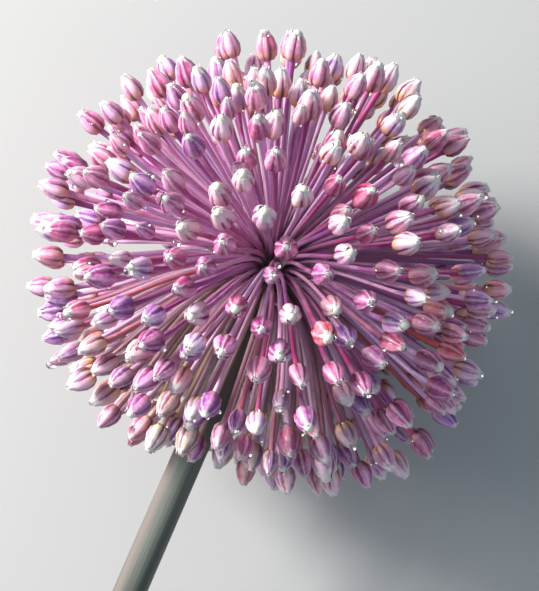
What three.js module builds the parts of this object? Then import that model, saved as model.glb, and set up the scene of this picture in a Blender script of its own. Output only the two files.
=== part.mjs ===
// An allium flower head lying on a surface. Nearly five hundred pointed buds stand on thin
// stalks that spread from a knob at the top of one smooth round stem, which is cut off square.
// Millimetres, +Z up. The surface is z = 0 and the stem slopes down towards -Y to its cut end.
import * as THREE from "three";

const DEGREE = Math.PI / 180;

// The head as a whole.
const HEAD_RADIUS = 37.5; // centre of the head to its longest bud tips
const SHORTEST_BY = 6.5; // how much shorter the shortest florets are
const SHORT_RARITY = 1.5; // 1 would make every length equally common
const STEM_SIDE_SHORTER = 3.5; // the florets beside the stem lose this much more
const CENTRE_HEIGHT = 34.5; // centre of the head above the surface
const FLORETS = 500;
const FLORETS_END = 163 * DEGREE; // no floret is further than this from the crown
const SHORTER_FROM = 115 * DEGREE; // florets get shorter from here to FLORETS_END
const CLUSTERS = 56; // florets share a base in small groups

// One floret: a three-sided stalk and a six-sided pointed bud.
const BUD_LENGTH = 5.0;
const BUD_RADIUS = 1.88;
const BUD_FOOT_RADIUS = 0.6;
const BUD_SHOULDER_RADIUS = 1.2;
const WIDEST_AT = 0.42; // share of the bud's length
const SHOULDER_AT = 0.76;
const STALK_RADIUS = 0.26; // where it leaves its cluster's foot
const BUD_LEAN = 7 * DEGREE; // the most a bud leans away from straight outwards
const SIZE_RANGE = 0.14; // the smallest bud is this share smaller

// How the florets are spread.
const GOLDEN_TURN = Math.PI * (3 - Math.sqrt(5));
const SCATTER = 0.085; // radians each floret strays from an even spread
const LEAST_SPACING = 4.2; // between the middles of two buds
const LEAST_ASIDE = 3.1; // the same, for a long floret beside a short one
const SPREADING_ROUNDS = 60;
const SEED = 20611;
const MULTIPLIER = 48271; // of the repeatable random numbers
const MODULUS = 2147483647;

// The knob and the stem.
const KNOB_RADIUS = 5.5;
const KNOB_FOOT_RADIUS = 3.1;
const KNOB_RINGS = 7;
const CLEARANCE = 0.3;
const STEM_LENGTH = 120.0; // centre of the head to the cut end
const STEM_TOP_RADIUS = 2.4;
const STEM_END_RADIUS = 2.6;
const STEM_SIDES = 24;
const CUT_BEVEL = 0.25;
const NECK_LENGTH = 14.0; // the stem thickens over this length below the knob

// The foot of one cluster, where its stalks are grown together above the knob.
const FOOT_BOTTOM = KNOB_RADIUS + CLEARANCE; // distances from the centre of the head
const FOOT_TOP = 9.6;
const FOOT_BOTTOM_RADIUS = 0.82;
const FOOT_TOP_RADIUS = 1.42;
const FOOT_SIDES = 6;
const FOOT_CROWDING = 0.82; // the feet keep to the knob's upper side, clear of the stem
const STALK_SPREAD = 3.2; // millimetres on a foot for each radian between buds
const STALK_SPACING = 0.56; // between the middles of two stalks on a foot
const STALK_FARTHEST = 0.95; // from the middle of the foot
const SETTLING_ROUNDS = 200;
const GROUPING_ROUNDS = 10;

// The stem's slope, from the height of the head and of the cut end's lower edge.
const STEM_SLOPE =
  Math.asin(CENTRE_HEIGHT / Math.hypot(STEM_LENGTH, STEM_END_RADIUS)) -
  Math.atan(STEM_END_RADIUS / STEM_LENGTH);

// Repeatable numbers from 0 to 1.
function makeRandom(seed) {
  let state = seed;
  return () => {
    state = (state * MULTIPLIER) % MODULUS;
    return state / MODULUS;
  };
}

// From the head's own frame, where the crown is +Z, to the frame where the stem slopes down.
function tilt(v) {
  const c = Math.cos(STEM_SLOPE);
  const s = Math.sin(STEM_SLOPE);
  return new THREE.Vector3(v.x, v.y * s + v.z * c, -v.y * c + v.z * s);
}

function direction(polar, around) {
  const flat = Math.sin(polar);
  return new THREE.Vector3(flat * Math.cos(around), flat * Math.sin(around), Math.cos(polar));
}

function smoothStep(from, to, value) {
  const t = Math.min(Math.max((value - from) / (to - from), 0), 1);
  return t * t * (3 - 2 * t);
}

// Any two directions square to an axis.
function crossAxes(axis) {
  const other = Math.abs(axis.z) < 0.9 ? new THREE.Vector3(0, 0, 1) : new THREE.Vector3(1, 0, 0);
  const u = new THREE.Vector3().crossVectors(other, axis).normalize();
  const v = new THREE.Vector3().crossVectors(axis, u);
  return [u, v];
}

// Two directions square to an axis, the first as near as it can be to a given direction.
function axesNear(axis, across) {
  const u = across.clone().addScaledVector(axis, -across.dot(axis)).normalize();
  const v = new THREE.Vector3().crossVectors(axis, u);
  return [u, v];
}

// How far from the centre a bud's tip is. Florets that would reach below the surface end on it.
function tipDistance(way, shortness) {
  const polar = Math.acos(way.z);
  const full = HEAD_RADIUS - STEM_SIDE_SHORTER * smoothStep(SHORTER_FROM, FLORETS_END, polar);
  const free = full - SHORTEST_BY * shortness ** SHORT_RARITY;
  const down = -tilt(way).z;
  return down * free > CENTRE_HEIGHT ? CENTRE_HEIGHT / down : free;
}

// Directions spread evenly from the crown down to where the florets end.
function evenWays(count) {
  const ways = [];
  for (let k = 0; k < count; k++) {
    const share = (k + 0.5) / count;
    ways.push(direction(Math.acos(1 - share * (1 - Math.cos(FLORETS_END))), k * GOLDEN_TURN));
  }
  return ways;
}

// Florets on evenly spread directions, each moved a little.
function scatteredFlorets() {
  const random = makeRandom(SEED);
  return evenWays(FLORETS).map((way) => {
    const [u, v] = crossAxes(way);
    const aside = SCATTER * Math.sqrt(random());
    const towards = 2 * Math.PI * random();
    way.addScaledVector(u, aside * Math.cos(towards));
    way.addScaledVector(v, aside * Math.sin(towards));
    way.normalize();
    const shortness = random();
    const size = 1 - SIZE_RANGE * random();
    const turn = 2 * Math.PI * random();
    const leanTowards = 2 * Math.PI * random();
    const lean = BUD_LEAN * random();
    return { way, shortness, size, turn, leanTowards, lean };
  });
}

// How far two florets should move apart, from the directions and lengths they have now.
function crowding(way, other, length, otherLength) {
  const aside = way.distanceTo(other) * Math.min(length, otherLength);
  const level = LEAST_SPACING ** 2 - (length - otherLength) ** 2;
  return Math.max(Math.sqrt(Math.max(level, 0)), LEAST_ASIDE) - aside;
}

// Moves crowded florets apart until their buds keep their distance.
function spreadOut(florets) {
  for (let round = 0; round < SPREADING_ROUNDS; round++) {
    const ways = florets.map((floret) => floret.way.clone());
    const lengths = florets.map((floret) => tipDistance(floret.way, floret.shortness) - BUD_LENGTH / 2);
    florets.forEach((floret, i) => {
      ways.forEach((other, j) => {
        const excess = crowding(ways[i], other, lengths[i], lengths[j]);
        if (i !== j && excess > 0) {
          const apart = new THREE.Vector3().subVectors(ways[i], other).normalize();
          floret.way.addScaledVector(apart, (0.5 * excess) / HEAD_RADIUS);
        }
      });
      floret.way.normalize();
      if (Math.acos(floret.way.z) > FLORETS_END) {
        floret.way.copy(direction(FLORETS_END, Math.atan2(floret.way.y, floret.way.x)));
      }
    });
  }
  return florets;
}

// The same direction, drawn towards the crown so that the feet stay clear of the stem.
function crowded(way) {
  return direction(FOOT_CROWDING * Math.acos(way.z), Math.atan2(way.y, way.x));
}

function nearest(way, ways) {
  const nearness = ways.map((other) => other.dot(way));
  return nearness.indexOf(Math.max(...nearness));
}

// Each floret joins its nearest cluster, and each cluster then moves to the middle of its florets.
function groupFlorets(florets) {
  let ways = evenWays(CLUSTERS);
  let groups = [];
  for (let round = 0; round < GROUPING_ROUNDS; round++) {
    groups = ways.map(() => []);
    for (const floret of florets) {
      groups[nearest(floret.way, ways)].push(floret);
    }
    ways = groups.map((group) => {
      const sum = new THREE.Vector3();
      group.forEach((floret) => sum.add(floret.way));
      return sum.normalize();
    });
  }
  return groups.map((group, k) => ({ way: ways[k], florets: group }));
}

// A ring of points round an axis.
function ring(middle, axes, radius, count, turn) {
  const points = [];
  for (let k = 0; k < count; k++) {
    const angle = turn + (2 * Math.PI * k) / count;
    const point = middle.clone();
    point.addScaledVector(axes[0], radius * Math.cos(angle));
    point.addScaledVector(axes[1], radius * Math.sin(angle));
    points.push(point);
  }
  return points;
}

// One closed surface under construction. Faces name their corners by number.
class Surface {
  points = [];
  faces = [];

  add(points) {
    const first = this.points.length;
    this.points.push(...points);
    return points.map((_, k) => first + k);
  }

  // A band between two rings, of which one may have twice the points of the other.
  join(lower, upper) {
    const count = Math.min(lower.length, upper.length);
    for (let k = 0; k < count; k++) {
      const next = (k + 1) % count;
      if (lower.length === upper.length) {
        this.faces.push([lower[k], lower[next], upper[next]], [lower[k], upper[next], upper[k]]);
      } else if (upper.length > lower.length) {
        const [a, b, c] = [upper[2 * k], upper[2 * k + 1], upper[2 * next]];
        this.faces.push([lower[k], b, a], [lower[k], lower[next], b], [lower[next], c, b]);
      } else {
        const [a, b, c] = [lower[2 * k], lower[2 * k + 1], lower[2 * next]];
        this.faces.push([a, b, upper[k]], [b, upper[next], upper[k]], [b, c, upper[next]]);
      }
    }
  }

  // Closes a ring with a point.
  peak(ring, point) {
    const [top] = this.add([point]);
    ring.forEach((corner, k) => this.faces.push([corner, ring[(k + 1) % ring.length], top]));
  }

  // Closes a ring with a flat face that looks down.
  floor(ring) {
    for (let k = 1; k < ring.length - 1; k++) {
      this.faces.push([ring[0], ring[k + 1], ring[k]]);
    }
  }

  geometry() {
    const geometry = new THREE.BufferGeometry();
    geometry.setFromPoints(this.points);
    geometry.setIndex(this.faces.flat());
    return geometry;
  }
}

// The direction of a bud, a few degrees off straight outwards.
function budAxis(floret, across) {
  const [u, v] = axesNear(floret.way, across);
  const axis = floret.way.clone();
  axis.addScaledVector(u, Math.tan(floret.lean) * Math.cos(floret.leanTowards));
  axis.addScaledVector(v, Math.tan(floret.lean) * Math.sin(floret.leanTowards));
  return axis.normalize();
}

// The rings of one stalk's end and its bud, from the bud's foot to its tip.
function addBud(surface, floret, across, stalk) {
  const tip = floret.way.clone().multiplyScalar(tipDistance(floret.way, floret.shortness));
  const axis = budAxis(floret, across);
  const axes = axesNear(axis, across);
  const along = (share) => tip.clone().addScaledVector(axis, (share - 1) * BUD_LENGTH * floret.size);
  const wide = BUD_RADIUS * floret.size;
  const narrow = BUD_SHOULDER_RADIUS * floret.size;
  const foot = surface.add(ring(along(0), axes, BUD_FOOT_RADIUS, 3, floret.turn));
  const widest = surface.add(ring(along(WIDEST_AT), axes, wide, 6, floret.turn));
  const shoulder = surface.add(ring(along(SHOULDER_AT), axes, narrow, 3, floret.turn));
  surface.join(stalk, foot);
  surface.join(foot, widest);
  surface.join(widest, shoulder);
  surface.peak(shoulder, tip);
}

// Where a stalk leaves its foot's flat top, as a distance along each of the foot's axes.
function stalkOffset(floret, way, axes) {
  const aside = new THREE.Vector3().subVectors(floret.way, way).multiplyScalar(STALK_SPREAD);
  return new THREE.Vector2(aside.dot(axes[0]), aside.dot(axes[1]));
}

// Moves crowded stalks apart on their foot, without leaving it.
function settle(places) {
  for (let round = 0; round < SETTLING_ROUNDS; round++) {
    for (const place of places) {
      for (const other of places) {
        const gap = place.distanceTo(other);
        if (place !== other && gap < STALK_SPACING) {
          const apart = new THREE.Vector2().subVectors(place, other);
          place.addScaledVector(apart, (0.5 * (STALK_SPACING - gap)) / gap);
        }
      }
      place.clampLength(0, STALK_FARTHEST);
    }
  }
  return places;
}

// A flat outline, counter-clockwise.
function outline(middle, radius, count, turn) {
  const points = [];
  for (let k = 0; k < count; k++) {
    const angle = turn + (2 * Math.PI * k) / count;
    points.push(new THREE.Vector2(Math.cos(angle), Math.sin(angle)).multiplyScalar(radius).add(middle));
  }
  return points;
}

// One cluster: a tapered foot, and the stalks and buds that grow from its flat top.
function clusterGeometry(way, florets) {
  const footWay = crowded(way);
  const axes = crossAxes(footWay);
  const surface = new Surface();
  const bottom = footWay.clone().multiplyScalar(FOOT_BOTTOM);
  const top = footWay.clone().multiplyScalar(FOOT_TOP);
  const onTop = ({ x, y }) => top.clone().addScaledVector(axes[0], x).addScaledVector(axes[1], y);
  const rim = outline(new THREE.Vector2(), FOOT_TOP_RADIUS, FOOT_SIDES, 0);
  const places = settle(florets.map((floret) => stalkOffset(floret, way, axes)));
  const starts = places.map((place, k) => outline(place, STALK_RADIUS, 3, florets[k].turn));
  const lower = surface.add(ring(bottom, axes, FOOT_BOTTOM_RADIUS, FOOT_SIDES, 0));
  const upper = surface.add(rim.map(onTop));
  const stalks = starts.map((start) => surface.add(start.map(onTop)));
  surface.floor(lower);
  surface.join(lower, upper);
  const corners = [upper, ...stalks].flat();
  for (const face of THREE.ShapeUtils.triangulateShape(rim, starts)) {
    surface.faces.push(face.map((k) => corners[k]));
  }
  florets.forEach((floret, k) => addBud(surface, floret, axes[0], stalks[k]));
  return surface.geometry();
}

// A solid of revolution about the stem's line, from points of radius and height.
function turned(profile) {
  const points = profile.map(([radius, height]) => new THREE.Vector2(radius, height));
  return new THREE.LatheGeometry(points, STEM_SIDES).rotateX(Math.PI / 2);
}

// How far below the centre of the head the knob's flat underside is.
const KNOB_DEPTH = Math.sqrt(KNOB_RADIUS ** 2 - KNOB_FOOT_RADIUS ** 2);

function knobGeometry() {
  const profile = [[0, -KNOB_DEPTH]];
  const lowest = -Math.asin(KNOB_DEPTH / KNOB_RADIUS);
  for (let k = 0; k < KNOB_RINGS; k++) {
    const angle = lowest + ((Math.PI / 2 - lowest) * k) / KNOB_RINGS;
    profile.push([KNOB_RADIUS * Math.cos(angle), KNOB_RADIUS * Math.sin(angle)]);
  }
  profile.push([0, KNOB_RADIUS]);
  return turned(profile);
}

function stemGeometry() {
  const top = -KNOB_DEPTH - CLEARANCE;
  return turned([
    [0, -STEM_LENGTH],
    [STEM_END_RADIUS - CUT_BEVEL, -STEM_LENGTH],
    [STEM_END_RADIUS, -STEM_LENGTH + CUT_BEVEL],
    [STEM_TOP_RADIUS, top - NECK_LENGTH],
    [KNOB_FOOT_RADIUS - CLEARANCE, top],
    [0, top],
  ]);
}

// The same shape in its sloping place.
function laidDown(geometry) {
  const positions = geometry.getAttribute("position");
  for (let k = 0; k < positions.count; k++) {
    const point = tilt(new THREE.Vector3().fromBufferAttribute(positions, k));
    positions.setXYZ(k, point.x, point.y, point.z);
  }
  return geometry;
}

function addMesh(group, name, geometry, look) {
  const bare = laidDown(geometry).toNonIndexed();
  bare.deleteAttribute("normal");
  bare.deleteAttribute("uv");
  bare.computeVertexNormals();
  const mesh = new THREE.Mesh(bare, new THREE.MeshStandardMaterial(look));
  mesh.name = name;
  group.add(mesh);
}

function clusterLook(k) {
  const colour = new THREE.Color().setHSL(0.88 - 0.03 * (k % 4), 0.38, 0.66);
  return { color: colour, roughness: 0.55, metalness: 0 };
}

const STEM_LOOK = { color: 0x8d9c84, roughness: 0.5, metalness: 0 };
const KNOB_LOOK = { color: 0x7f9468, roughness: 0.6, metalness: 0 };

const group = new THREE.Group();
addMesh(group, "stem", stemGeometry(), STEM_LOOK);
addMesh(group, "knob", knobGeometry(), KNOB_LOOK);
groupFlorets(spreadOut(scatteredFlorets())).forEach(({ way, florets }, k) => {
  const name = `floret_cluster_${String(k + 1).padStart(2, "0")}`;
  addMesh(group, name, clusterGeometry(way, florets), clusterLook(k));
});

// The lowest points lie on the surface, under the middle of the whole part.
const box = new THREE.Box3().setFromObject(group, true);
const middle = box.getCenter(new THREE.Vector3());
for (const mesh of group.children) {
  mesh.geometry.translate(-middle.x, -middle.y, -box.min.z);
}

export default group;
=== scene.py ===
"""An allium flower head, cut and laid down: a ball of pointed buds on thin stalks, on one stem."""

import math

import bmesh
import bpy
import numpy as np
from mathutils import Matrix, Vector


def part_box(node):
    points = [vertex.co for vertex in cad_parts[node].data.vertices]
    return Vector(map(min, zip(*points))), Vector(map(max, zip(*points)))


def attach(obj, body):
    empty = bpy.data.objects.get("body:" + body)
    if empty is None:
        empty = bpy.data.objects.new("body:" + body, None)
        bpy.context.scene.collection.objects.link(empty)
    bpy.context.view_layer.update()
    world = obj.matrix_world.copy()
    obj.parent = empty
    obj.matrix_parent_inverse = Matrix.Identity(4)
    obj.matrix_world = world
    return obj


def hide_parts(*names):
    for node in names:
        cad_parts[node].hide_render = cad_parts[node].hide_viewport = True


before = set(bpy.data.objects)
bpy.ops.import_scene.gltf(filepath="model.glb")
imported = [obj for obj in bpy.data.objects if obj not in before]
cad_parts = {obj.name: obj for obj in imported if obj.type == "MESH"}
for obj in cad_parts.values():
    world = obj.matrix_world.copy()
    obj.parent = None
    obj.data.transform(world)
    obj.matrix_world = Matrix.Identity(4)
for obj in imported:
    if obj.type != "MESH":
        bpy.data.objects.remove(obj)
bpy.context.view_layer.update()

MM = 0.001

# The head's plan, as in the CAD part. Millimetres, from the centre of the head, crown up.
HEAD_RADIUS = 37.5
SHORTEST_BY = 6.5
SHORT_RARITY = 1.5
STEM_SIDE_SHORTER = 3.5
CENTRE_HEIGHT = 34.5
FLORETS = 500
FLORETS_END = math.radians(163)
SHORTER_FROM = math.radians(115)
CLUSTERS = 56
BUD_LENGTH = 5.0
BUD_LEAN = math.radians(7)
SIZE_RANGE = 0.14
GOLDEN_TURN = math.pi * (3 - math.sqrt(5))
SCATTER = 0.085
LEAST_SPACING = 4.2
LEAST_ASIDE = 3.1
SPREADING_ROUNDS = 60
GROUPING_ROUNDS = 10
SEED = 20611
FOOT_CROWDING = 0.82
KNOB_RADIUS = 5.5
KNOB_FOOT_RADIUS = 3.1
STEM_LENGTH = 120.0
STEM_TOP_RADIUS = 2.4
STEM_END_RADIUS = 2.6
CUT_BEVEL = 0.25
STEM_SLOPE = math.asin(CENTRE_HEIGHT / math.hypot(STEM_LENGTH, STEM_END_RADIUS)) - math.atan(
    STEM_END_RADIUS / STEM_LENGTH
)

# Finer sizes that only the looks need.
STALK_FOOT_RADIUS = 0.30
STALK_TOP_RADIUS = 0.38
STALK_STOUTNESS = (0.82, 0.42)  # the least, and how much more it may be
STALK_SIDES = 7
STALK_STEPS = 7
STALK_FLARES_FROM = 0.86  # of its length, up to the foot of the bud
STALK_FLARE = 0.12
STALK_SUNK = 0.3  # into the knob
STALK_INTO_BUD = 0.1
STOUTER_BELOW = 0.13  # the most that is added to a stalk's radius as it points further down
OPENING_FROM = 0.86  # how far up a floret faces before it may open
OPENING_CHANCE = 0.36
LOOKS_SEED = 4177


def repeatable(seed):
    """A source of numbers from 0 to 1, the same ones each time."""
    state = seed

    def draw():
        nonlocal state
        state = state * 48271 % 2147483647
        return state / 2147483647

    return draw


def some(draw, least, more):
    """A drawn number, from the least to that much more."""
    return least + more * draw()


# ---- The plan of the head -------------------------------------------------------------------


def unit(rows):
    """Each row, made one unit long."""
    return rows / np.linalg.norm(rows, axis=-1, keepdims=True)


def direction(polar, around):
    """The way at an angle from the crown and an angle around the head."""
    flat = np.sin(polar)
    return np.stack([flat * np.cos(around), flat * np.sin(around), np.cos(polar)], axis=-1)


def polar_of(ways):
    """How far each way turns from the crown."""
    return np.arccos(np.clip(ways[..., 2], -1, 1))


def cross_axes(axis):
    """Two ways square to the axis and to each other."""
    other = (0, 0, 1) if abs(axis[2]) < 0.9 else (1, 0, 0)
    u = unit(np.cross(other, axis))
    return u, np.cross(axis, u)


def axes_near(axis, across):
    """Two ways square to the axis, the first as near to the given one as it can be."""
    u = unit(across - axis * np.dot(across, axis))
    return u, np.cross(axis, u)


def turned(u, v, turn):
    """Two ways square to each other, turned about the axis that they share."""
    return u * math.cos(turn) + v * math.sin(turn), v * math.cos(turn) - u * math.sin(turn)


def tip_distance(ways, shortness):
    """How far a bud's tip is from the centre: less towards the stem, and never past the surface."""
    t = np.clip((polar_of(ways) - SHORTER_FROM) / (FLORETS_END - SHORTER_FROM), 0, 1)
    full = HEAD_RADIUS - STEM_SIDE_SHORTER * t * t * (3 - 2 * t)
    free = full - SHORTEST_BY * shortness**SHORT_RARITY
    down = ways[..., 1] * math.cos(STEM_SLOPE) - ways[..., 2] * math.sin(STEM_SLOPE)
    held = down * free > CENTRE_HEIGHT
    return np.where(held, CENTRE_HEIGHT / np.where(held, down, 1), free)


def even_ways(count):
    """Ways spread evenly over the head by the golden turn, from the crown down."""
    k = np.arange(count)
    share = (k + 0.5) / count
    return direction(np.arccos(1 - share * (1 - math.cos(FLORETS_END))), k * GOLDEN_TURN)


def scattered_florets():
    """Directions and the random qualities of each floret, before they make room for each other."""
    random = repeatable(SEED)
    ways = even_ways(FLORETS)
    qualities = []
    for i, way in enumerate(ways):
        u, v = cross_axes(way)
        aside = SCATTER * math.sqrt(random())
        towards = 2 * math.pi * random()
        ways[i] = unit(way + u * aside * math.cos(towards) + v * aside * math.sin(towards))
        shortness = random()
        size = 1 - SIZE_RANGE * random()
        turn = 2 * math.pi * random()
        lean_towards = 2 * math.pi * random()
        qualities.append((shortness, size, turn, lean_towards, BUD_LEAN * random()))
    return ways, np.array(qualities)


def spread_out(ways, shortness):
    """Moves crowded florets apart until their buds keep their distance."""
    alone = ~np.eye(len(ways), dtype=bool)
    for _ in range(SPREADING_ROUNDS):
        lengths = tip_distance(ways, shortness) - BUD_LENGTH / 2
        apart = ways[:, None] - ways[None]
        gap = np.linalg.norm(apart, axis=-1)
        aside = gap * np.minimum(lengths[:, None], lengths[None])
        level = LEAST_SPACING**2 - (lengths[:, None] - lengths[None]) ** 2
        excess = np.maximum(np.sqrt(np.maximum(level, 0)), LEAST_ASIDE) - aside
        push = np.where((excess > 0) & alone, 0.5 * excess / HEAD_RADIUS / np.where(alone, gap, 1), 0)
        ways = unit(ways + (apart * push[..., None]).sum(1))
        low = polar_of(ways) > FLORETS_END
        ways[low] = direction(np.full(low.sum(), FLORETS_END), np.arctan2(ways[low, 1], ways[low, 0]))
    return ways


def crowded(way):
    """The way of a stalk's foot, closer to the crown than its bud's way."""
    return direction(FOOT_CROWDING * polar_of(way), np.arctan2(way[..., 1], way[..., 0]))


def cluster_numbers(ways):
    """Which cluster each floret belongs to, and the middle direction of each cluster."""
    middles = even_ways(CLUSTERS)
    for _ in range(GROUPING_ROUNDS):
        own = np.argmax(ways @ middles.T, axis=1)
        middles = unit(np.array([ways[own == k].sum(0) for k in range(CLUSTERS)]))
    return own, middles


def laid_down():
    """From the head's own frame in millimetres to its sloping place on the surface in metres."""
    c, s = math.cos(STEM_SLOPE), math.sin(STEM_SLOPE)
    low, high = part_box("stem")
    end = -STEM_LENGTH * c - (STEM_END_RADIUS - CUT_BEVEL) * s
    place = Matrix.Translation(((low.x + high.x) / 2, low.y - end * MM, CENTRE_HEIGHT * MM))
    tilt = Matrix(((1, 0, 0, 0), (0, s, c, 0), (0, -c, s, 0), (0, 0, 0, 1)))
    return place @ tilt @ Matrix.Scale(MM, 4)


LAID = laid_down()


# ---- Modelling helpers ----------------------------------------------------------------------


def deselect():
    """Leaves nothing selected."""
    for piece in bpy.context.selected_objects:
        piece.select_set(False)


def start(operator, name, **settings):
    """A new primitive, alone in the selection."""
    deselect()
    operator(**settings)
    piece = bpy.context.object
    piece.name = name
    piece.data.name = name
    return piece


def edit_all():
    """Opens the active piece in edit mode with all of it selected."""
    bpy.ops.object.mode_set(mode="EDIT")
    bpy.ops.mesh.select_all(action="SELECT")


def finish_edit():
    """Leaves edit mode."""
    bpy.ops.object.mode_set(mode="OBJECT")


def face_outwards():
    """Turns all faces of the piece in edit mode outwards."""
    bpy.ops.mesh.select_all(action="SELECT")
    bpy.ops.mesh.normals_make_consistent(inside=False)


def apply_modifier(piece, kind, **settings):
    """Adds a modifier and makes its result the piece's own mesh."""
    modifier = piece.modifiers.new(kind.title(), kind)
    for name, value in settings.items():
        setattr(modifier, name, value)
    bpy.context.view_layer.objects.active = piece
    bpy.ops.object.modifier_apply(modifier=modifier.name)


def smooth(piece, angle=180):
    """Shades the piece smooth, but for edges sharper than the angle in degrees."""
    deselect()
    piece.select_set(True)
    bpy.context.view_layer.objects.active = piece
    bpy.ops.object.shade_smooth_by_angle(angle=math.radians(angle))


def joined(name, pieces):
    """The pieces as one, under one name."""
    deselect()
    for piece in pieces:
        piece.select_set(True)
    bpy.context.view_layer.objects.active = pieces[0]
    if len(pieces) > 1:
        bpy.ops.object.join()
    pieces[0].name = name
    pieces[0].data.name = name
    return pieces[0]


def copied(piece, place):
    """A copy with its own mesh, moved to its place."""
    twin = piece.copy()
    twin.data = piece.data.copy()
    bpy.context.scene.collection.objects.link(twin)
    twin.data.transform(place)
    return twin


def mark(piece, **qualities):
    """Stores one number for the whole piece under each name, for its finish to read."""
    for name, value in qualities.items():
        layer = piece.data.attributes.get(name) or piece.data.attributes.new(name, "FLOAT", "POINT")
        layer.data.foreach_set("value", [value] * len(piece.data.vertices))


def coordinates(mesh):
    """The places of all vertices, one row each."""
    places = np.empty(len(mesh.vertices) * 3)
    mesh.vertices.foreach_get("co", places)
    return places.reshape(-1, 3)


def place_vertices(mesh, places):
    """Moves all vertices, to one row of the places each."""
    mesh.vertices.foreach_set("co", np.asarray(places).ravel())
    mesh.update()


def set_map(mesh, across, along):
    """The piece's own map: across and along are one number for each vertex."""
    layer = mesh.uv_layers.active or mesh.uv_layers.new(name="UVMap")
    corner = np.empty(len(mesh.loops), dtype=np.int32)
    mesh.loops.foreach_get("vertex_index", corner)
    layer.data.foreach_set("uv", np.stack([across[corner], along[corner]], axis=1).ravel())


def hand_over(piece, finish, slot, *nodes):
    """Gives a finished piece its finish and its body, and hides the CAD nodes that it replaces. The
    slot is not used.
    """
    piece.data.materials.clear()
    piece.data.materials.append(finish)
    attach(piece, "root")
    if nodes:
        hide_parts(*nodes)


# ---- One bud --------------------------------------------------------------------------------

# Stations up a tepal: height, distance from the bud's axis, and width as a share of its arc.
TEPAL_STATIONS = (
    (0.16, 1.16, 1.00),
    (0.95, 1.72, 1.02),
    (2.15, 1.84, 1.06),
    (3.60, 1.34, 1.08),
    (4.55, 0.66, 1.10),
    (5.00, 0.20, 1.60),
)
TEPAL_FOOT = 0.50
TEPAL_ARC = math.radians(60)
TEPAL_THICKNESS = 0.12
ARC_STEPS = 4
KEEL_PROUD = 1.06
EDGE_DEEPER = 0.86
TOOTH_DEPTH = 0.26
PART_FROM = 0.6  # a larger share keeps the parting and the drooping nearer to the tips
PART_CURVE = 1.6
TEPALS = 6
INNER_SLIMMER = 0.93
# The least of each, and how much more it may be.
OUTER_SPREAD = (1.22, 0.2)
OUTER_FLARE = (0.18, 0.32)
INNER_FLARE = (0.02, 0.1)
OWN_PARTING = (0.6, 0.8)
FILAMENTS_RADIUS = 0.52
FILAMENTS_HEIGHT = 4.28
OVARY_RADIUS = 1.15
OVARY_HEIGHT = 3.25
OVARY_SHOWS_FROM = 0.2  # how far the tips have parted


def choose(piece, test):
    """Selects those vertices of the piece in edit mode whose place passes the test."""
    shape = bmesh.from_edit_mesh(piece.data)
    for vertex in shape.verts:
        vertex.select_set(test(vertex.co))
    shape.select_flush(True)
    bmesh.update_edit_mesh(piece.data)


def around_axis(place):
    return math.atan2(place.y, place.x)


def is_tip(place):
    return place.z > TEPAL_STATIONS[-1][0] - 0.01


def is_near_tip(place):
    return place.z > TEPAL_STATIONS[-2][0] + 0.01


def model_tepal(name, slimness, spread, flare, parting, droop):
    """One boat-shaped tepal with a keel down its back and a toothed tip.

    Slimness scales its distance from the bud's axis, and spread widens the arc that it covers.
    Flare turns only the very tip outwards. Parting draws the whole upper half off the bud's axis."""
    arcs_round = round(2 * math.pi / TEPAL_ARC * ARC_STEPS)
    piece = start(bpy.ops.mesh.primitive_circle_add, name, vertices=arcs_round, radius=TEPAL_FOOT)
    edit_all()
    bpy.ops.mesh.select_mode(type="VERT")
    choose(piece, lambda place: abs(around_axis(place)) > TEPAL_ARC / 2 + 0.01)
    bpy.ops.mesh.delete(type="VERT")
    # The keel stands a little proud of the faces beside it, and the edges lie deeper.
    choose(piece, lambda place: abs(around_axis(place)) > TEPAL_ARC * 0.4)
    bpy.ops.transform.resize(value=(EDGE_DEEPER, EDGE_DEEPER, 1), center_override=(0, 0, 0))
    choose(piece, lambda place: abs(around_axis(place)) < 0.05)
    bpy.ops.transform.resize(value=(KEEL_PROUD, 1, 1), center_override=(0, 0, 0))
    bpy.ops.mesh.select_all(action="SELECT")
    below, reach, width = 0.0, TEPAL_FOOT, 1.0
    for height, next_reach, next_width in TEPAL_STATIONS:
        bpy.ops.mesh.extrude_edges_move(TRANSFORM_OT_translate={"value": (0, 0, height - below)})
        wider = next_reach / reach
        bpy.ops.transform.resize(
            value=(wider, wider * next_width / width, 1), center_override=(0, 0, height)
        )
        below, reach, width = height, next_reach, next_width
    choose(piece, lambda place: is_tip(place) and 0.1 < abs(place.y) / place.x < 0.55)
    bpy.ops.transform.translate(value=(0.04, 0, -TOOTH_DEPTH))
    choose(piece, is_near_tip)
    bpy.ops.transform.translate(value=(flare, 0, 0))
    finish_edit()
    places = coordinates(piece.data)
    angle = np.arctan2(places[:, 1], places[:, 0])
    set_map(
        piece.data,
        np.clip(angle / (TEPAL_ARC * 1.12) + 0.5, 0, 1),
        np.clip(places[:, 2] / BUD_LENGTH, 0, 1),
    )
    distance = np.hypot(places[:, 0], places[:, 1]) * slimness
    bend = np.clip(places[:, 2] / BUD_LENGTH * (1 + PART_FROM) - PART_FROM, 0, 1) ** PART_CURVE
    places[:, 0] = distance * np.cos(angle * spread) + parting * bend
    places[:, 1] = distance * np.sin(angle * spread)
    places[:, 2] -= droop * bend
    place_vertices(piece.data, places)
    apply_modifier(piece, "SOLIDIFY", thickness=TEPAL_THICKNESS, offset=-1)
    return piece


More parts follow.
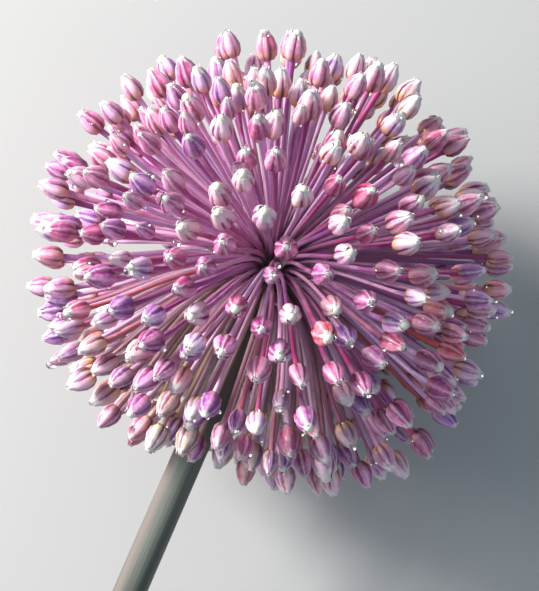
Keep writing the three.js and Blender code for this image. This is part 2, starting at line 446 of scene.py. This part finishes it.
def model_bud(name, slimness, parting, droop, unevenness, draw):
    """Three outer and three inner tepals round one axis, and the pale filaments that close the
    gap between their tips. A parted bud shows its ovary too."""
    tepals = []
    for k in range(TEPALS):
        inner = k % 2 == 1
        own = slimness * (INNER_SLIMMER if inner else 1.0) * (1 + unevenness * (draw() - 0.5))
        tepal = model_tepal(
            "tepal",
            slimness=own,
            spread=1.0 if inner else some(draw, *OUTER_SPREAD),
            flare=some(draw, *(INNER_FLARE if inner else OUTER_FLARE)),
            parting=(parting * 0.6 if inner else parting + 0.05) * some(draw, *OWN_PARTING),
            droop=some(draw, droop, 0.15) * (1.0 if inner else 0.7),
        )
        around = math.radians(360 / TEPALS * k + 8 * (draw() - 0.5))
        tepal.data.transform(Matrix.Rotation(around, 4, "Z"))
        mark(tepal, inside=0.0, inner=float(inner), shade=draw())
        tepals.append(tepal)
    parted = parting > OVARY_SHOWS_FROM
    wide = FILAMENTS_RADIUS + 0.8 * max(parting, 0)
    filling = [("filaments", wide, FILAMENTS_HEIGHT, 0.35 if parted else 0.0)]
    if parted:
        filling.append(("ovary", OVARY_RADIUS, OVARY_HEIGHT, 1.0))
    for part, radius, height, green in filling:
        ball = start(
            bpy.ops.mesh.primitive_ico_sphere_add,
            part,
            subdivisions=2,
            radius=radius,
            location=(0, 0, height),
        )
        bpy.ops.object.transform_apply(location=True, rotation=False, scale=False)
        middle = np.full(len(ball.data.vertices), 0.5)
        set_map(ball.data, middle, middle * 2)
        mark(ball, inside=green, inner=0.0, shade=0.5)
        tepals.append(ball)
    bud = joined(name, tepals)
    smooth(bud, 70)
    return bud


# ---- One stalk ------------------------------------------------------------------------------


def model_stalk():
    """A straight stalk one unit long, extruded ring by ring, to be led along each floret's line."""
    piece = start(
        bpy.ops.mesh.primitive_circle_add, "stalk", vertices=STALK_SIDES, radius=1, fill_type="NGON"
    )
    edit_all()
    bpy.ops.mesh.flip_normals()
    for _ in range(STALK_STEPS):
        bpy.ops.mesh.extrude_region_move(TRANSFORM_OT_translate={"value": (0, 0, 1 / STALK_STEPS)})
    face_outwards()
    finish_edit()
    places = coordinates(piece.data)
    around = np.arctan2(places[:, 1], places[:, 0]) / (2 * math.pi) + 0.5
    set_map(piece.data, around, places[:, 2])
    mark(piece, inside=0.0)
    smooth(piece, 60)
    return piece


def lead_stalk(piece, foot, foot_way, top, top_way, across, radii):
    """Leads a stalk along a smooth line from the knob to the foot of its bud."""
    places = coordinates(piece.data)
    t = places[:, 2:3]
    reach = np.linalg.norm(top - foot) * 0.9
    t2, t3 = t * t, t * t * t
    line = (2 * t3 - 3 * t2 + 1) * foot + (t3 - 2 * t2 + t) * foot_way * reach
    line = line + (3 * t2 - 2 * t3) * top + (t3 - t2) * top_way * reach
    u, v = axes_near(unit(top - foot), across)
    flare = np.clip((t - STALK_FLARES_FROM) / (1 - STALK_FLARES_FROM), 0, 1) ** 2 * STALK_FLARE
    radius = radii[0] + (radii[1] - radii[0]) * t + flare
    place_vertices(piece.data, line + radius * (places[:, 0:1] * u + places[:, 1:2] * v))


def frame_of(u, v, w, origin, scale):
    """The place of a copy, from its three axes, its foot and its size."""
    columns = np.stack([u * scale, v * scale, w * scale, origin], axis=1)
    return Matrix([list(row) for row in columns] + [[0, 0, 0, 1]])


# ---- Finishes -------------------------------------------------------------------------------


def paint(code):
    """A colour from its six-figure code, as the linear values that sockets take."""
    shares = [int(code[i : i + 2], 16) / 255 for i in (0, 2, 4)]
    return [s / 12.92 if s <= 0.04045 else ((s + 0.055) / 1.055) ** 2.4 for s in shares] + [1.0]


class Value:
    """One socket's value. Maths on it adds the nodes for that maths."""

    def __init__(self, finish, socket):
        self.finish = finish
        self.socket = socket

    def maths(self, operation, *values):
        return self.finish.node("ShaderNodeMath", {"operation": operation}, dict(enumerate(values)))

    def __add__(self, other):
        return self.maths("ADD", self, other)

    def __radd__(self, other):
        return self.maths("ADD", other, self)

    def __sub__(self, other):
        return self.maths("SUBTRACT", self, other)

    def __rsub__(self, other):
        return self.maths("SUBTRACT", other, self)

    def __mul__(self, other):
        return self.maths("MULTIPLY", self, other)

    def __rmul__(self, other):
        return self.maths("MULTIPLY", other, self)

    def __abs__(self):
        return self.maths("ABSOLUTE", self)


class Finish:
    """A material under construction."""

    def __init__(self, name):
        self.material = bpy.data.materials.new(name)
        self.material.use_nodes = True
        self.tree = self.material.node_tree
        self.shader = self.tree.nodes["Principled BSDF"]

    def feed(self, socket, value):
        """Links a value to a socket, or sets a constant on it."""
        if isinstance(value, Value):
            self.tree.links.new(value.socket, socket)
        else:
            socket.default_value = value

    def node(self, kind, settings=None, inputs=None, output=0):
        """A new node of one kind, with its settings first and then its sockets."""
        made = self.tree.nodes.new(kind)
        for name, value in (settings or {}).items():
            setattr(made, name, value)
        for name, value in (inputs or {}).items():
            self.feed(made.inputs[name], value)
        return Value(self, made.outputs[output])

    def blend(self, share, first, second):
        """From the first colour to the second as the share goes from 0 to 1."""
        settings = {"data_type": "RGBA", "clamp_factor": True}
        return self.node("ShaderNodeMix", settings, {0: share, 6: first, 7: second}, 2)

    def steps(self, value, low, high):
        """A smooth step from 0 where the value is low to 1 where it is high."""
        settings = {"interpolation_type": "SMOOTHSTEP"}
        return self.node("ShaderNodeMapRange", settings, {0: value, 1: low, 2: high})

    def quality(self, name):
        """A number that mark stored on the piece."""
        return self.node("ShaderNodeAttribute", {"attribute_name": name}, None, "Fac")

    def map_shares(self):
        """The two numbers of the piece's own map."""
        both = self.node("ShaderNodeUVMap")
        apart = self.node("ShaderNodeSeparateXYZ", None, {0: both})
        return apart, Value(self, apart.socket.node.outputs[1])

    def place(self):
        return self.node("ShaderNodeTexCoord", None, None, "Object")

    def noise(self, place, scale, detail):
        inputs = {"Vector": place, "Scale": scale, "Detail": detail}
        return self.node("ShaderNodeTexNoise", None, inputs, "Fac")

    def stretched(self, place, scales):
        settings = {"operation": "MULTIPLY"}
        return self.node("ShaderNodeVectorMath", settings, {0: place, 1: scales})

    def bump(self, height, strength, distance):
        inputs = {"Height": height, "Strength": strength, "Distance": distance}
        return self.node("ShaderNodeBump", None, inputs)

    def set(self, **values):
        """Feeds the shader's sockets by name, and gives the finished material."""
        for name, value in values.items():
            self.feed(self.shader.inputs[name.replace("_", " ")], value)
        return self.material


def bud_finish():
    """Silky tepals: pink to lilac faces, purple edges, a creamy foot and a white ragged point, with a
    painted highlight down each keel and painted shade in the grooves at the foot.
    """
    f = Finish("bud_tepals")
    across, along = f.map_shares()
    hue, deep, pale = f.quality("hue"), f.quality("deep"), f.quality("pale")
    warm, olive, inner = f.quality("warm"), f.quality("olive"), f.quality("inner")
    shade = f.quality("shade")
    own_map = f.node("ShaderNodeUVMap")
    streaks = f.noise(f.stretched(own_map, (14.0, 3.0, 1.0)), 1.0, 2)
    veins = f.noise(f.stretched(own_map, (60.0, 4.0, 1.0)), 1.0, 3)
    place = f.place()
    grain = f.noise(place, 1500, 3)
    patches = f.noise(place, 480, 2)
    from_keel = abs(across * 2 - 1)
    face = f.blend(hue, paint("d987b4"), paint("af7cbe"))
    rich = f.blend(hue, paint("bd2a66"), paint("7c338c"))
    face = f.blend(deep * 0.85 + (shade - 0.5) * 0.6, face, rich)
    cream = f.blend(hue, paint("e4c2bb"), paint("d0bbd3"))
    face = f.blend(pale * 0.95 - shade * 0.3, face, cream)
    face = f.blend(warm, face, paint("d96168"))
    face = f.blend(olive * 0.85, face, paint("cbcb92"))
    edge = f.blend(hue, paint("7c164c"), paint("532275"))
    edge = f.blend(warm, edge, paint("a5303f"))
    face = f.blend(inner * (0.75 - 0.4 * pale), face, edge)
    face = f.blend(f.steps(patches, 0.38, 0.7) * (0.6 - 0.45 * pale), face, edge)
    face = f.blend(f.steps(grain, 0.45, 0.75) * 0.25, face, paint("f0c6dc"))
    near_foot = f.steps(along, 0.75, 0.15)
    band = f.steps(from_keel + (streaks - 0.5) * 0.7 + near_foot * 0.14, 0.62, 0.98)
    body = f.blend(band, face, edge)
    # Painted highlight: a pale pinkish-white streak down each keel, where the fold catches the light.
    keel_highlight = (1 - f.steps(from_keel + (streaks - 0.5) * 0.3, 0.0, 0.4)) * (0.5 - 0.3 * deep)
    body = f.blend(keel_highlight, body, paint("efcfe0"))
    foot = f.blend(pale, paint("ddb0a0"), paint("e6ab86"))
    foot = f.blend(olive, foot, paint("c8c884"))
    # Painted shade: the foot goes dark brown towards the tepals' edges, and more so on the inner
    # tepals, in the grooves between them.
    foot = f.blend(f.steps(from_keel + inner * 0.3, 0.5, 0.95), foot, paint("4e2226"))
    low = along + (streaks - 0.5) * 0.2 - pale * 0.16
    body = f.blend(f.steps(low, 0.32, 0.04) * (0.4 + 0.55 * pale), body, foot)
    ragged = along + (streaks - 0.5) * 0.4 + (grain - 0.5) * 0.4 + pale * 0.22
    white = f.blend(f.steps(veins, 0.45, 0.7), paint("d3cac9"), paint("b58ca4"))
    body = f.blend(f.steps(ragged, 0.84, 1.0), body, white)
    body = f.blend(f.quality("inside"), body, paint("a9b78c"))
    return f.set(
        Base_Color=body,
        Roughness=0.34 + 0.22 * grain,
        Normal=f.bump(veins * 0.7 + grain * 0.5, 0.5, 0.00014),
        Specular_IOR_Level=0.5,
        Coat_Weight=0.4,
        Coat_Roughness=0.12,
    )


def stalk_finish():
    """Waxy stalks: rosy and lavender ones, a few coral, olive towards the stem, with painted light
    that makes them paler towards the knob and painted shade that makes their very feet dark.
    """
    f = Finish("floret_stalks")
    _, along = f.map_shares()
    hue, deep = f.quality("hue"), f.quality("deep")
    warm, olive = f.quality("warm"), f.quality("olive")
    mottle = f.noise(f.place(), 420, 3)
    streaks = f.noise(f.stretched(f.node("ShaderNodeUVMap"), (9.0, 5.0, 1.0)), 1.0, 2)
    light = f.blend(hue, paint("d8a4c9"), paint("c7a7d5"))
    dark = f.blend(hue, paint("a1306c"), paint("884489"))
    body = f.blend(f.steps(deep + (mottle - 0.5) * 0.5, 0.3, 0.7), light, dark)
    # Painted light: paler lavender towards the knob, which lifts the inner stalks out of their shade
    # among the crowd as if light came through them.
    body = f.blend(f.steps(along, 0.85, 0.25) * 0.5, body, paint("d0a0c2"))
    body = f.blend(warm, body, paint("cb5f4c"))
    body = f.blend(olive * 0.7, body, paint("a8986c"))
    # Painted shade: dark at the very feet of the stalks, where they crowd together on the knob.
    body = f.blend(f.steps(along, 0.22, 0.0) * 0.55, body, paint("74405a"))
    return f.set(
        Base_Color=body,
        Roughness=0.36 + 0.2 * mottle,
        Normal=f.bump(streaks + mottle * 0.4, 0.25, 0.0001),
        Specular_IOR_Level=0.5,
    )


def stem_finish():
    """A smooth stem with a waxy bloom, fine lengthwise veins, a faint flush and a cut end."""
    f = Finish("waxy_stem")
    place = f.place()
    lengthwise = f.node("ShaderNodeMapping", None, {"Vector": place, "Rotation": (-STEM_SLOPE, 0, 0)})
    veins = f.noise(f.stretched(lengthwise, (2600.0, 40.0, 2600.0)), 1.0, 3)
    bloom = f.noise(f.stretched(lengthwise, (420.0, 26.0, 420.0)), 1.0, 4)
    body = f.blend(f.steps(bloom, 0.3, 0.7), paint("3e433c"), paint("5f635c"))
    body = f.blend(f.steps(veins, 0.45, 0.7) * 0.35, body, paint("3f4439"))
    flush = f.noise(f.stretched(lengthwise, (300.0, 12.0, 300.0)), 1.0, 2)
    body = f.blend(f.steps(flush, 0.42, 0.62) * 0.5, body, paint("75625d"))
    # The cut end: pale pith, a ring of darker strands and a green rim.
    from_axis, skin = f.map_shares()
    strands = f.noise(f.stretched(lengthwise, (3600.0, 60.0, 3600.0)), 1.0, 2)
    flesh = f.blend(f.steps(from_axis, 0.25, 0.95), paint("a9ae88"), paint("7e8c5c"))
    flesh = f.blend(f.steps(strands, 0.52, 0.68) * 0.5, flesh, paint("66733f"))
    flesh = f.blend(f.steps(from_axis, 0.84, 0.93), flesh, paint("4f5d3a"))
    body = f.blend(f.steps(skin, 0.1, 0.6), flesh, body)
    return f.set(
        Base_Color=body,
        Roughness=0.5 + 0.2 * bloom,
        Normal=f.bump(veins, 0.3, 0.0001),
        Specular_IOR_Level=0.35,
    )


def knob_finish():
    """Dull olive flesh with small spots."""
    f = Finish("knob_flesh")
    spots = f.noise(f.place(), 900, 3)
    body = f.blend(f.steps(spots, 0.35, 0.7), paint("4a5138"), paint("6e6d4c"))
    return f.set(Base_Color=body, Roughness=0.5 + 0.2 * spots, Normal=f.bump(spots, 0.4, 0.0002))


# ---- The florets ----------------------------------------------------------------------------


def floret_looks(polar, facing, draw):
    """The qualities of one floret's colour, and which of the buds it has.

    Facing is 1 for a floret that points straight up from the surface, where buds open first."""
    near_stem = min(max((polar - math.radians(105)) / math.radians(45), 0), 1)
    warm = 0.5 + 0.5 * draw() if draw() < 0.05 else 0.2 * draw() ** 2
    # Painted light and shade: paler and pinker towards the crown of the head, on the key light's
    # side, and deeper and more purple towards the stem, on the shaded side.
    crown, low = max(math.cos(polar), 0), max(-math.cos(polar), 0)
    hue = draw() ** (1.2 + 1.6 * crown - 0.5 * low)
    bud = {"hue": hue, "deep": draw() ** (1.3 + 1.6 * crown - 0.3 * low), "warm": warm}
    bud["pale"] = 0.3 * crown + (1 - 0.3 * crown) * draw() ** (2.2 - 1.6 * crown + 0.9 * low)
    bud["olive"] = near_stem * draw() ** 1.5
    stalk = {"hue": draw(), "deep": draw(), "warm": warm if draw() < 0.5 else 0.1 * draw()}
    stalk["olive"] = near_stem * (0.3 + 0.7 * draw())
    kind = min(int(draw() * len(BUDS)), len(BUDS) - 1)
    opening = draw()
    if facing > OPENING_FROM and opening < OPENING_CHANCE:
        # One of the last two kinds, whose tips have parted.
        kind = len(BUDS) - 1 - int(opening * 5.5)
        bud["pale"] = 0.7 + 0.8 * opening
    elif facing > OPENING_FROM:
        bud["deep"] = 0.4 + 0.6 * bud["deep"]
        bud["pale"] *= 0.4
        bud["hue"] *= 0.7
    return bud, stalk, kind


# Each kind of bud: its slimness, how far its tips part and droop, its unevenness and its size.
BUDS = (
    (0.97, -0.02, 0.0, 0.05, 1.0),
    (0.92, 0.02, 0.0, 0.08, 0.95),
    (0.86, -0.02, 0.0, 0.05, 0.88),
    (1.0, 0.06, 0.05, 0.08, 1.0),
    (0.95, 0.12, 0.1, 0.1, 0.97),
    (1.0, 0.0, 0.1, 0.06, 0.94),
    (1.0, 0.22, 0.14, 0.1, 0.98),
    (1.03, 0.36, 0.3, 0.12, 0.96),
)


def make_florets():
    """Buds and stalks, one piece of each for every cluster. Gives the place of each bud."""
    ways, qualities = scattered_florets()
    ways = spread_out(ways, qualities[:, 0])
    own, middles = cluster_numbers(ways)
    tips = ways * tip_distance(ways, qualities[:, 0])[:, None]
    draw = repeatable(LOOKS_SEED)
    buds = [model_bud(f"bud_{n}", *kind[:4], draw) for n, kind in enumerate(BUDS)]
    stalk = model_stalk()
    bud_paint, stalk_paint = bud_finish(), stalk_finish()
    placed = []
    for k in range(CLUSTERS):
        across = cross_axes(crowded(middles[k]))[0]
        cluster_buds, cluster_stalks = [], []
        for i in np.flatnonzero(own == k):
            _, size, turn, lean_towards, lean = qualities[i]
            u, v = axes_near(ways[i], across)
            axis = unit(ways[i] + math.tan(lean) * turned(u, v, lean_towards)[0])
            u, v = axes_near(axis, across)
            facing = (LAID.to_3x3().normalized() @ Vector(ways[i])).z
            bud_looks, stalk_looks, kind = floret_looks(polar_of(ways[i]), facing, draw)
            size *= BUDS[kind][4]
            foot = tips[i] - axis * BUD_LENGTH * size
            placed.append((foot, axis, size))
            bud = copied(buds[kind], frame_of(*turned(u, v, turn), axis, foot, size))
            mark(bud, **bud_looks)
            cluster_buds.append(bud)
            own_stalk = copied(stalk, Matrix.Identity(4))
            stouter = STOUTER_BELOW * min(max(0.3 - facing, 0), 1)
            thick = STALK_TOP_RADIUS * size * some(draw, *STALK_STOUTNESS) + stouter
            radii = (STALK_FOOT_RADIUS + stouter, thick)
            start_way = crowded(ways[i])
            start_place = start_way * (KNOB_RADIUS - STALK_SUNK)
            end_place = foot + axis * STALK_INTO_BUD
            lead_stalk(own_stalk, start_place, start_way, end_place, axis, across, radii)
            mark(own_stalk, **stalk_looks)
            cluster_stalks.append(own_stalk)
        node = f"floret_cluster_{k + 1:02d}"
        bud_piece = joined(f"buds_{k + 1:02d}", cluster_buds)
        stalk_piece = joined(f"stalks_{k + 1:02d}", cluster_stalks)
        for piece, finish in ((bud_piece, bud_paint), (stalk_piece, stalk_paint)):
            piece.data.transform(LAID)
            hand_over(piece, finish, "florets", node)
    for pattern in [*buds, stalk]:
        bpy.data.objects.remove(pattern)
    return placed


# ---- The papery scales and the dew ----------------------------------------------------------

SCALES = 54
SCALE_FOOT_HALF = 0.65
SCALE_THICKNESS = 0.07
# Stations up a scale: height, half its width and how far it leans.
SCALE_STATIONS = ((1.5, 0.95, 0.25), (3.6, 0.8, 0.2), (5.6, 0.45, -0.1), (7.0, 0.06, -0.5))
SCALE_SUNK = 0.2  # into the knob
SCALE_SIZE = (0.8, 0.5)  # the least, and how much more it may be
DEW_DROPS = 480
DROP_FLATNESS = 0.86
DROP_RADIUS = (0.12, 0.28)  # the least, and how much more it may be
LARGE_DROP_MORE = 0.72  # added to a few
BUD_RADIUS = 1.75
STALK_RADIUS = 0.4
GLINT_SHARE = 0.42  # of its drop's radius, on a small drop
GLINT_NEARER = 0.3


def papery_finish():
    """Dry, pale and fibrous, greener at the foot."""
    f = Finish("papery_scales")
    _, along = f.map_shares()
    fibres = f.noise(f.stretched(f.node("ShaderNodeUVMap"), (18.0, 2.0, 1.0)), 1.0, 3)
    body = f.blend(f.steps(fibres, 0.35, 0.7), paint("d9d2cf"), paint("b9a2b4"))
    body = f.blend(f.steps(along, 0.35, 0.0) * 0.7, body, paint("9b9a72"))
    return f.set(Base_Color=body, Roughness=0.5 + 0.2 * fibres, Normal=f.bump(fibres, 0.5, 0.0002))


def make_scales():
    """Thin pointed scales that stand on the knob among the lowest parts of the stalks."""
    grid = bpy.ops.mesh.primitive_grid_add
    piece = start(grid, "scale", x_subdivisions=2, y_subdivisions=1, size=1)
    edit_all()
    bpy.ops.mesh.select_mode(type="VERT")
    choose(piece, lambda place: place.y > 0)
    bpy.ops.mesh.delete(type="VERT")
    bpy.ops.mesh.select_all(action="SELECT")
    bpy.ops.transform.translate(value=(0, 0.5, 0))
    bpy.ops.transform.resize(value=(2 * SCALE_FOOT_HALF, 1, 1), center_override=(0, 0, 0))
    choose(piece, lambda place: abs(place.x) < 0.1)
    bpy.ops.transform.translate(value=(0, -0.25, 0))
    bpy.ops.mesh.select_all(action="SELECT")
    below, width, lean = 0.0, SCALE_FOOT_HALF, 0.0
    for height, next_width, next_lean in SCALE_STATIONS:
        step = (0, next_lean - lean, height - below)
        bpy.ops.mesh.extrude_edges_move(TRANSFORM_OT_translate={"value": step})
        bpy.ops.transform.resize(value=(next_width / width, 1, 1), center_override=(0, 0, 0))
        below, width, lean = height, next_width, next_lean
    finish_edit()
    places = coordinates(piece.data)
    set_map(piece.data, places[:, 0] / 2 + 0.5, places[:, 2] / SCALE_STATIONS[-1][0])
    apply_modifier(piece, "SOLIDIFY", thickness=SCALE_THICKNESS, offset=0)
    smooth(piece, 60)
    draw = repeatable(LOOKS_SEED + 1)
    scales = []
    for way in even_ways(SCALES):
        way = crowded(way)
        u, v = turned(*cross_axes(way), 2 * math.pi * draw())
        size = some(draw, *SCALE_SIZE)
        foot = way * (KNOB_RADIUS - SCALE_SUNK)
        scales.append(copied(piece, frame_of(u, v, way, foot, size)))
    bpy.data.objects.remove(piece)
    whole = joined("papery_scales", scales)
    whole.data.transform(LAID)
    hand_over(whole, papery_finish(), "florets")


def dew_finish():
    """Clear water with a slight ripple."""
    f = Finish("clear_dew")
    ripple = f.noise(f.place(), 700, 1)
    return f.set(
        Base_Color=paint("f4f8f8"),
        Roughness=0.02,
        IOR=1.33,
        Transmission_Weight=1.0,
        Normal=f.bump(ripple, 0.1, 0.0001),
    )


def glint_finish():
    """A painted glint: the light that a drop gathers, glowing by itself."""
    f = Finish("gathered_light")
    # Painted light: it glows by itself, though it is no lamp.
    f.set(Emission_Color=paint("fff6f2"), Emission_Strength=0.9)
    return f.set(Base_Color=paint("f2f2f2"), Roughness=0.3)


def make_dew(buds):
    """Clear drops that cling to buds and stalks. Each holds a painted glint, a small ball that glows
    by itself on the side away from the key light and a little nearer to the camera, where a drop
    gathers the light."""
    ball = bpy.ops.mesh.primitive_ico_sphere_add
    drop = start(ball, "dew_drop", subdivisions=2, radius=1)
    edit_all()
    bpy.ops.transform.resize(value=(1, 1, DROP_FLATNESS), center_override=(0, 0, 0))
    finish_edit()
    glint = start(ball, "dew_glint", subdivisions=1, radius=1)
    smooth(drop)
    smooth(glint)
    right, up, back = look_axes()
    away = back * GLINT_NEARER - right * KEY_PLACE[0] - up * KEY_PLACE[1]
    away = unit(np.array(LAID.to_3x3().inverted() @ away))
    draw = repeatable(LOOKS_SEED + 2)
    drops, glints = [], []
    for _ in range(DEW_DROPS):
        foot, axis, size = buds[int(draw() * len(buds))]
        turn, share = 2 * math.pi * draw(), 0.95 - 1.1 * draw() ** 1.6
        side = turned(*cross_axes(axis), turn)[0]
        radius = some(draw, *DROP_RADIUS) + LARGE_DROP_MORE * draw() ** 4
        # From the axis to the skin: of the bud at the drop's height, or of the stalk below it.
        skin = STALK_RADIUS
        if share > 0:
            skin = BUD_RADIUS * math.sin(math.pi * min(share * 1.05 + 0.12, 1)) * size
        middle = foot + axis * share * BUD_LENGTH * size + side * (skin + radius * 0.6)
        across = np.cross(axis, side)
        drops.append(copied(drop, frame_of(across, axis, side, middle, radius)))
        spot = middle + away * radius * 0.5
        small = radius * GLINT_SHARE / (0.7 + radius)
        glints.append(copied(glint, frame_of(across, axis, side, spot, small)))
    for pattern in (drop, glint):
        bpy.data.objects.remove(pattern)
    for name, parts, finish in (
        ("dew_drops", drops, dew_finish()),
        ("dew_glints", glints, glint_finish()),
    ):
        whole = joined(name, parts)
        whole.data.transform(LAID)
        hand_over(whole, finish, "florets")


# ---- The stem and its knob ------------------------------------------------------------------

KNOB_DEPTH = math.sqrt(KNOB_RADIUS**2 - KNOB_FOOT_RADIUS**2)  # below the head's centre
STEM_SIDES = 48
STEM_STEPS = 24
NECK_LENGTH = 14.0
CUT_HOLLOW = 0.12
CUT_RINGS = (0.2, 0.9, 1.7)
CUT_FLAT_RADIUS = 2.32


def make_stem():
    """A round stem that thickens into the knob, extruded ring by ring along its outline."""
    neck = KNOB_FOOT_RADIUS - 0.1
    outline = [(reach, -STEM_LENGTH + CUT_HOLLOW) for reach in CUT_RINGS]
    outline += [(CUT_FLAT_RADIUS, -STEM_LENGTH), (STEM_END_RADIUS, -STEM_LENGTH + CUT_BEVEL)]
    for k in range(1, STEM_STEPS):
        share = k / STEM_STEPS
        height = -STEM_LENGTH + CUT_BEVEL + (STEM_LENGTH - CUT_BEVEL - KNOB_DEPTH) * share
        thick = STEM_END_RADIUS + (STEM_TOP_RADIUS - STEM_END_RADIUS) * share
        swell = max(0.0, 1 - (-KNOB_DEPTH - height) / NECK_LENGTH) ** 2
        outline.append((thick + (neck - thick) * swell, height))
    outline.append((neck, -KNOB_DEPTH))
    radii, heights = np.array(outline).T
    piece = start(bpy.ops.mesh.primitive_circle_add, "flower_stem", vertices=STEM_SIDES, radius=1)
    edit_all()
    for _ in outline[1:]:
        bpy.ops.mesh.extrude_edges_move(TRANSFORM_OT_translate={"value": (0, 0, 1)})
    finish_edit()
    places = coordinates(piece.data)
    row = np.rint(places[:, 2]).astype(int)
    around = np.arctan2(places[:, 1], places[:, 0])
    radius, height = radii[row], heights[row]
    # The map tells the cut end, by its share of the stem's radius, from the skin.
    skin = np.clip((height + STEM_LENGTH) / CUT_BEVEL - 0.5, 0, 1)
    set_map(piece.data, radius / STEM_END_RADIUS, skin)
    uneven = 1 + 0.006 * np.sin(around * 16) + 0.006 * np.sin(around * 3 + height / 30)
    radius = radius * uneven
    rings = np.stack([radius * np.cos(around), radius * np.sin(around), height], axis=1)
    place_vertices(piece.data, rings)
    bpy.ops.object.mode_set(mode="EDIT")
    bpy.ops.mesh.select_all(action="DESELECT")
    bpy.ops.mesh.select_non_manifold()
    bpy.ops.mesh.edge_face_add()
    face_outwards()
    finish_edit()
    smooth(piece, 40)
    piece.data.transform(LAID)
    hand_over(piece, stem_finish(), "stem", "stem")


def make_knob():
    """The swollen top of the stem, a ball cut off flat where the stem meets it."""
    ball = bpy.ops.mesh.primitive_ico_sphere_add
    piece = start(ball, "knob_top", subdivisions=5, radius=KNOB_RADIUS - 0.05)
    edit_all()
    cut = {"plane_co": (0, 0, -KNOB_DEPTH), "plane_no": (0, 0, 1)}
    bpy.ops.mesh.bisect(**cut, use_fill=True, clear_inner=True)
    face_outwards()
    finish_edit()
    smooth(piece, 50)
    piece.data.transform(LAID)
    hand_over(piece, knob_finish(), "knob", "knob")


# ---- The camera, the light and the floor ----------------------------------------------------

VIEW_AZIMUTH = math.radians(24.3)
VIEW_ELEVATION = math.radians(79)
VIEW_DISTANCE = 335.0
LENS = 135.0
NEAREST_SEEN = 0.01  # metres
AIM_ASIDE = 0.3  # the picture's middle, from the head's, to the right and up
AIM_UP = -3.2
# How far each light stands aside of the head, above it and nearer, as the camera sees it.
KEY_PLACE = (-0.76, 0.50, 0.42)
SIDE_PLACE = (-0.85, 0.30, 0.45)
FILL_PLACE = (0.7, -0.4, 0.6)


def look_axes():
    """Right, up and back, as the camera sees them."""
    a, e = VIEW_AZIMUTH, VIEW_ELEVATION
    back = Vector((math.sin(a) * math.cos(e), -math.cos(a) * math.cos(e), math.sin(e)))
    right = Vector((math.cos(a), math.sin(a), 0))
    return right, back.cross(right), back


def make_camera():
    right, up, back = look_axes()
    aim = LAID.translation + (right * AIM_ASIDE + up * AIM_UP) * MM
    camera = bpy.data.objects.new("camera", bpy.data.cameras.new("camera"))
    camera.data.lens = LENS
    camera.data.clip_start = NEAREST_SEEN
    turn = Matrix((right, up, back)).transposed().to_4x4()
    camera.matrix_world = Matrix.Translation(aim + back * VIEW_DISTANCE * MM) @ turn
    bpy.context.scene.collection.objects.link(camera)
    bpy.context.scene.camera = camera


def make_light(name, place, distance, size, watts, colour):
    """An area light that faces the head from its place, at its distance and size in metres."""
    right, up, back = look_axes()
    aside, above, nearer = place
    way = (right * aside + up * above + back * nearer).normalized()
    light = bpy.data.objects.new(name, bpy.data.lights.new(name, "AREA"))
    light.data.size = size
    light.data.energy = watts
    light.data.color = colour
    turn = way.to_track_quat("Z", "Y").to_matrix().to_4x4()
    light.matrix_world = Matrix.Translation(LAID.translation + way * distance) @ turn
    bpy.context.scene.collection.objects.link(light)


def make_surroundings():
    """Three soft lights, a pale room and a plain floor."""
    make_light("key_light", KEY_PLACE, 0.7, 0.22, 12.9, (1.0, 0.97, 0.95))
    make_light("side_light", SIDE_PLACE, 0.8, 0.6, 5.0, (1.0, 0.95, 1.0))
    make_light("fill_light", FILL_PLACE, 0.8, 0.5, 0.9, (0.58, 0.70, 1.0))
    world = bpy.data.worlds.new("soft_room")
    world.use_nodes = True
    sky = world.node_tree.nodes["Background"].inputs
    sky["Color"].default_value = (0.72, 0.88, 1.0, 1)
    sky["Strength"].default_value = 0.53
    bpy.context.scene.world = world
    floor = start(bpy.ops.mesh.primitive_plane_add, "floor", size=4, location=(0, 0, 0))
    f = Finish("pale_floor")
    floor.data.materials.append(f.set(Base_Color=(0.33, 0.33, 0.32, 1), Roughness=0.7))
    bpy.context.scene.view_settings.view_transform = "Standard"


make_camera()
make_surroundings()
make_stem()
make_knob()
make_dew(make_florets())
make_scales()
